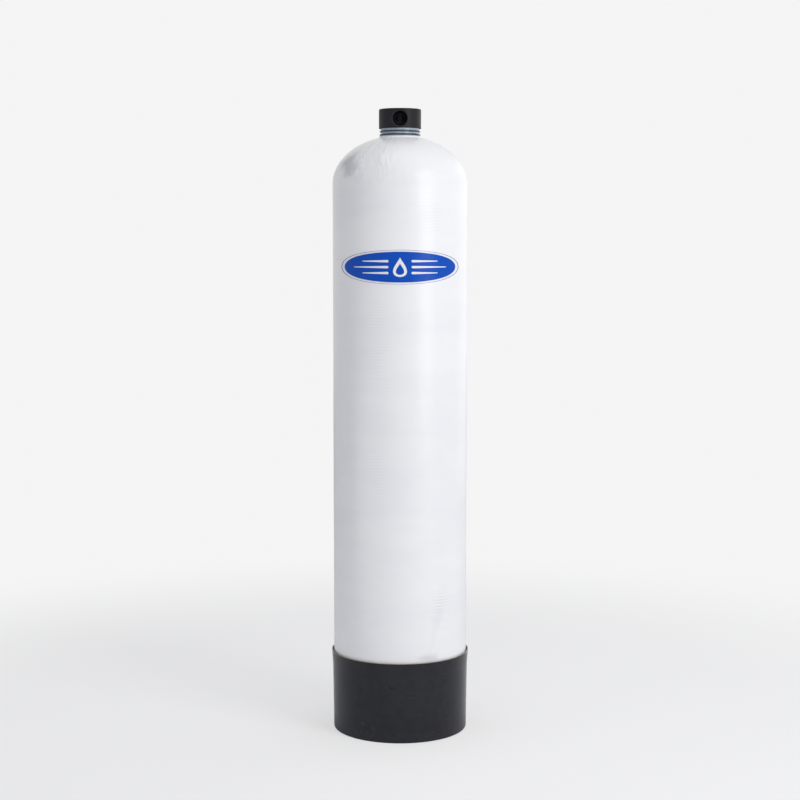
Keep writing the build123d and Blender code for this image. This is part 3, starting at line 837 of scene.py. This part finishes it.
def portThread(name, side, material):
    # A closed skin lying in a port: down its wall, over its floor and back behind both. The wall's radius
    # is the root less a ridge, a clipped ramp of the phase (travel over pitch less the share of a turn).
    # The skin's near-black finish is painted shade inside the port
    floor, mouth, skin = threads["portFloor"], threads["portMouth"], threads["portSkin"]
    pitch, root, hole = threads["portPitch"], threads["portRoot"], threads["portHole"]
    angle = ringAngles(threads["portColumns"])[None, :]
    travel = np.linspace(mouth, floor + 2 * skin, threads["portRows"])[:, None]
    away = np.abs(np.mod(travel / pitch - angle / (2 * pi), 1) - 0.5) * pitch
    halfFoot, halfCrest = threads["portFoot"] / 2, threads["portCrest"] / 2
    ridge = np.clip((halfFoot - away) / (halfFoot - halfCrest), 0, 1)
    fade = smoothStep(travel, floor, floor + pitch) * (1 - smoothStep(travel, mouth - pitch, mouth))
    wall = np.stack([root - skin - threads["portDepth"] * ridge * fade, travel + 0 * angle], axis=-1)
    ledge, outside = hole + threads["portLedge"], root + skin / 2
    rest = [(root - 2 * skin, floor + skin), (ledge, floor + skin), (hole, floor + skin),
            (hole, floor - skin), (outside, floor - skin), (outside, mouth)]
    rest = np.array(rest)[:, None, :] + 0 * wall[:1, :, :]
    profile = np.concatenate([wall, rest])
    radius, depth = profile[..., 0], profile[..., 1]
    across, height = -side * radius * np.cos(angle), portLevel + radius * np.sin(angle)
    grid = np.stack([across, side * depth, height], axis=-1)
    faces = gridFaces(*grid.shape[:2], closeRows=True)
    return meshFrom(name, grid.reshape(-1, 3), faces, material, sharp=50)


def makeThreads():
    boreStart = neckMouth - threads["neckStart"]
    bore = neckRidge("neck_thread", threads["boreRoot"], -threads["neckDepth"], threads["neckTurns"],
                     boreStart, fittingPlastic)
    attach(bore, "tank")
    spigotStart = boreStart + threads["spigotLag"] * threads["neckPitch"]
    spigot = neckRidge("spigot_thread", threads["spigotRoot"], threads["neckDepth"], threads["spigotTurns"],
                       spigotStart, headPlastic)
    # the ports' skins carry painted shade: near-black and barely glossy
    paintedPortShade = makePlastic("paintedPortShade", *head["paintedPortShade"], gloss=head["paintedPortShadeGloss"])
    inlet = portThread("inlet_thread", -1, paintedPortShade)
    outlet = portThread("outlet_thread", 1, paintedPortShade)
    for piece in (spigot, inlet, outlet):
        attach(piece, "head")


makeThreads()
print("threads ready")


# Finishes of the frame's own pieces

bootMarks = {  # soft patches on the boot, in metres
    "smudged": {"Middle": (-0.019, -0.157, 0.128), "Size": (0.012, 0.02, 0.006), "Break": 1.0},
    "rubbedLeft": {"Middle": (-0.083, -0.13, 0.039), "Size": (0.013, 0.02, 0.006), "Break": 1.2},
    "rubbedRight": {"Middle": (-0.061, -0.142, 0.031), "Size": (0.009, 0.02, 0.009), "Break": 1.2},
}
bootLook = {
    "gloss": 0.34,
    "plastic": ((0.0085, 0.009, 0.0135), (0.0115, 0.012, 0.0175)),
    "smudged": ((0.002, 0.002, 0.003), 0.9),  # a tint and how much of it
    "rubbed": ((0.075, 0.077, 0.08), 0.16),
    "worn": ((0.09, 0.09, 0.095), 0.25),
    "dust": ((0.12, 0.115, 0.11), 0.04),
    "rim": ((0.36, 0.27, 0.17), 0.8),
    "dustHeight": 0.04,
    "dustRoughness": 0.1,  # added
    "rimFrom": (0.9 * mm, 0.3 * mm),  # below the rim
    "grain": 700.0,
    "cover": 0.5,
    "roughness": (0.2, 0.26),
    "bump": 0.06 * mm,
}
rubber = {
    "tones": ((0.012, 0.012, 0.013), (0.022, 0.022, 0.024)),
    "grain": 1500.0,
    "roughness": (0.3, 0.45),
    "bump": 0.02 * mm,
}
innerPlastics = {  # two tones and a roughness
    "basketPlastic": ((0.66, 0.66, 0.63), (0.76, 0.76, 0.73), 0.4),
    "linerPlastic": ((0.6, 0.65, 0.68), (0.7, 0.74, 0.76), 0.4),
    "riserPvc": ((0.7, 0.7, 0.68), (0.78, 0.78, 0.76), 0.3),
}
grains = {  # two tones, a size and a roughness
    "gravelStones": ((0.22, 0.19, 0.16), (0.6, 0.56, 0.5), 5 * mm, 0.7),
    "carbonGrains": ((0.012, 0.012, 0.012), (0.05, 0.05, 0.052), 1.2 * mm, 0.6),
}
grainBump = 0.6  # share of a grain's size
grainSpread = 0.15  # between the roughness of the darkest grain and the lightest


def makeBootPlastic():
    # Charcoal moulding: dust towards the floor, a tan band along the top of the rim, a smudge and two
    # rubbed places
    look = bootLook
    material, tree, shader = newMaterial("bootPlastic", Specular_IOR_Level=look["gloss"])
    skin = useGroup(tree, mouldedGrain, Scale=look["grain"])
    worn = useGroup(tree, scuffs, Cover=look["cover"])["Mask"]
    masks = {name: useGroup(tree, smudge, **mark)["Mask"] for name, mark in bootMarks.items()}
    height = placeParts(tree)["Z"]
    dust = remap(tree, height, look["dustHeight"], 0.0)
    rimLow, rimHigh = (bootTop - drop for drop in look["rimFrom"])
    places = {
        "smudged": masks["smudged"],
        "rubbed": mathOf(tree, "ADD", masks["rubbedLeft"], masks["rubbedRight"]),
        "worn": worn,
        "dust": dust,
        "rim": remap(tree, height, rimLow, rimHigh),
    }
    colour = mixColour(tree, remap(tree, skin["Tone"], *toneRange), *look["plastic"])
    for finish, place in places.items():
        tint, strength = look[finish]
        colour = tinted(tree, colour, place, strength, tint)
    feed(tree, shader.inputs["Base Color"], colour)
    rough = remap(tree, skin["Tone"], *toneRange, *look["roughness"])
    feed(tree, shader.inputs["Roughness"], mathOf(tree, "MULTIPLY_ADD", dust, look["dustRoughness"], rough))
    bumpFrom(tree, shader, skin["Height"], look["bump"])
    return material


def makeRubber():
    material, tree, shader = newMaterial("sealRubber")
    skin = useGroup(tree, mouldedGrain, Scale=rubber["grain"])
    feed(tree, shader.inputs["Base Color"], mixColour(tree, skin["Tone"], *rubber["tones"]))
    feed(tree, shader.inputs["Roughness"], remap(tree, skin["Tone"], *toneRange, *rubber["roughness"]))
    bumpFrom(tree, shader, skin["Height"], rubber["bump"])
    return material


def makeGrains(name):
    # Loose grains: cells of their own tone, high in the middle and low between them
    dark, light, size, roughness = grains[name]
    material, tree, shader = newMaterial(name)
    cells = addNode(tree, "ShaderNodeTexVoronoi", {"Vector": objectPlace(tree), "Scale": 1 / size})
    tone = addNode(tree, "ShaderNodeSeparateColor", {0: cells.outputs["Color"]}).outputs[0]
    feed(tree, shader.inputs["Base Color"], mixColour(tree, tone, dark, light))
    feed(tree, shader.inputs["Roughness"], remap(tree, tone, 0, 1, roughness, roughness + grainSpread))
    bumpFrom(tree, shader, mathOf(tree, "SUBTRACT", 1.0, cells.outputs["Distance"]), size * grainBump)
    return material


basketPlastic = makePlastic("basketPlastic", *innerPlastics["basketPlastic"])
sealRubber = makeRubber()
finishes = {
    "base_boot": makeBootPlastic(),
    "head_body": headPlastic,
    "neck_fitting": fittingPlastic,
    "tank_liner": makePlastic("linerPlastic", *innerPlastics["linerPlastic"]),
    "riser_tube": makePlastic("riserPvc", *innerPlastics["riserPvc"], grain=0.02),
    "lower_hub": basketPlastic,
    "lower_basket": basketPlastic,
    "upper_distributor": basketPlastic,
    "riser_seal_retainer": basketPlastic,
    "head_o_ring": sealRubber,
    "riser_o_ring": sealRubber,
    "gravel_bed": makeGrains("gravelStones"),
    "carbon_bed": makeGrains("carbonGrains"),
}
for node, finish in finishes.items():
    slots = nodes[node].material_slots
    if not slots:
        nodes[node].data.materials.append(finish)
    for holder in slots:
        holder.material = finish
print("finishes ready")


# Floor, light and camera

studio = {
    "floorSize": 9.0,
    "floorColour": (0.95, 0.95, 0.955),
    "backdrop": 0.91,  # what the camera sees far from the object
    "shareNear": 0.6,  # how much of the backdrop's tone the floor already has at the object
    "blendNear": 0.9,
    "blendFar": 2.2,
    "worldLight": 0.44,
    "worldColour": (0.93, 0.94, 1.0),
}
lamps = {  # azimuth and elevation in degrees; azimuth 0 stands beside the camera and grows towards +X
    "keyLight": {"turned": (44, 17), "distance": 3.2, "size": (1.3, 2.8), "power": 49, "aim": 0.8},
    "topLight": {"turned": (20, 75), "distance": 3.0, "size": (2.4, 2.4), "power": 18, "aim": 0.8},
    "sideLight": {"turned": (136, 12), "distance": 3.2, "size": (2.2, 2.4), "power": 11.5, "aim": 0.6},
    "lowFill": {"turned": (-60, 2), "distance": 3.0, "size": (1.8, 0.7), "power": 9, "aim": 0.1},
}
view = {
    "distance": 3.874,
    "height": 1.127,
    "pitch": 5.34,  # degrees down
    "focal": 1688.0,  # in pixels of the 800 pixel frame
    "frame": 800.0,
    "sensor": 36.0,
}
backdropColour = (studio["backdrop"],) * 3


def makeFloor():
    size = studio["floorSize"]
    points = np.array([[-size, -size, 0], [size, -size, 0], [size, size, 0], [-size, size, 0]], float)
    material, tree, shader = newMaterial("floorPaper", Roughness=0.9)
    shader.inputs["Base Color"].default_value = opaque(studio["floorColour"])
    distance = lengthOf(tree, objectPlace(tree))
    toned = remap(tree, distance, studio["blendNear"], studio["blendFar"], studio["shareNear"], 1.0)
    camera = tree.nodes.new("ShaderNodeLightPath").outputs["Is Camera Ray"]
    glow = addNode(tree, "ShaderNodeEmission", {"Color": opaque(backdropColour), "Strength": 1.0})
    share = mathOf(tree, "MULTIPLY", toned, camera)
    mixed = addNode(tree, "ShaderNodeMixShader", {0: share, 1: shader.outputs[0], 2: glow.outputs[0]})
    tree.links.new(mixed.outputs[0], tree.nodes["Material Output"].inputs["Surface"])
    meshFrom("floor", points, [(0, 1, 2, 3)], material, flat=True)


def makeWorld():
    world = bpy.data.worlds.new("studioWorld")
    bpy.context.scene.world = world
    world.use_nodes = True
    tree = world.node_tree
    soft = tree.nodes["Background"]
    soft.inputs["Color"].default_value = opaque(studio["worldColour"])
    soft.inputs["Strength"].default_value = studio["worldLight"]
    seen = addNode(tree, "ShaderNodeBackground", {"Color": opaque(backdropColour), "Strength": 1.0})
    path = tree.nodes.new("ShaderNodeLightPath")
    direct = mathOf(tree, "MAXIMUM", path.outputs["Is Camera Ray"], path.outputs["Is Transmission Ray"])
    direct = mathOf(tree, "MAXIMUM", direct, path.outputs["Is Glossy Ray"])
    mixed = addNode(tree, "ShaderNodeMixShader", {0: direct, 1: soft.outputs[0], 2: seen.outputs[0]})
    tree.links.new(mixed.outputs[0], tree.nodes["World Output"].inputs["Surface"])


def softBox(name, turned, distance, size, power, aim):
    # A rectangular lamp that looks at the object's axis at the height of its aim
    lamp = bpy.data.lights.new(name, "AREA")
    lamp.shape = "RECTANGLE"
    lamp.size, lamp.size_y = size
    lamp.energy = power
    holder = bpy.data.objects.new(name, lamp)
    turn, lift = (math.radians(part) for part in turned)
    reach = distance * math.cos(lift)
    holder.location = (reach * math.sin(turn), -reach * math.cos(turn), aim + distance * math.sin(lift))
    holder.rotation_euler = (math.radians(90) - lift, 0, turn)
    bpy.context.scene.collection.objects.link(holder)


def makeCamera():
    lens = bpy.data.cameras.new("photoView")
    lens.sensor_width = view["sensor"]
    lens.lens = view["focal"] / view["frame"] * view["sensor"]
    camera = bpy.data.objects.new("photoView", lens)
    camera.location = (0, -view["distance"], view["height"])
    camera.rotation_euler = (math.radians(90 - view["pitch"]), 0, 0)
    bpy.context.scene.collection.objects.link(camera)
    bpy.context.scene.camera = camera


makeFloor()
makeWorld()
for name, lamp in lamps.items():
    softBox(name, **lamp)
makeCamera()
bpy.context.scene.view_settings.view_transform = "Standard"
print("studio ready")
